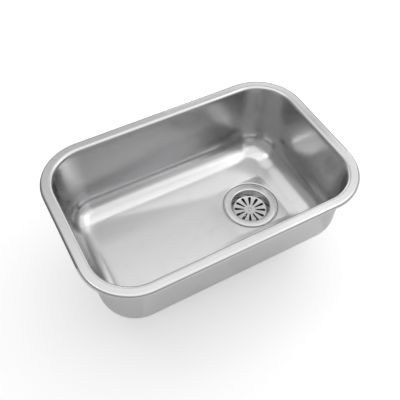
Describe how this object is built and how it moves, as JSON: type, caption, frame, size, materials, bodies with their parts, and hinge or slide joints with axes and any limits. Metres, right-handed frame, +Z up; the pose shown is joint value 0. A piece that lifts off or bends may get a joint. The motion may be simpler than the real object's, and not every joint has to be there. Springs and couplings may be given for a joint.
{
  "type": "undermount kitchen sink",
  "caption": "Undermount single-bowl sink pressed from stainless steel, with a flat rim flange, falling floor, round drain recess and a slotted strainer waste clamped by one central screw.",
  "frame": {"origin": "centre of the rim at its top face, which is pressed up against the underside of the worktop", "axes": "+Z is up, out of the bowl; +X runs along the bowl's length towards the drain; +Y is the back"},
  "size_m": [0.56, 0.365, 0.241],
  "materials": {
    "bowl_steel": "satin pressed stainless steel",
    "strainer_steel": "fine satin stainless steel",
    "screw_steel": "bright stainless steel",
    "seal_rubber": "matt black rubber",
    "body_plastic": "moulded black polypropylene, fine spark-eroded grain",
    "insert_brass": "machined brass",
    "damping_pad": "dark sound-deadening sheet"
  },
  "bodies": {
    "root": {"bowl": "bowl_steel", "sound_pad": "damping_pad", "strainer": "strainer_steel", "strainer_screw": "screw_steel", "strainer_seal": "seal_rubber", "under_seal": "seal_rubber", "waste_body": "body_plastic", "brass_insert": "insert_brass"}
  },
  "joints": []
}
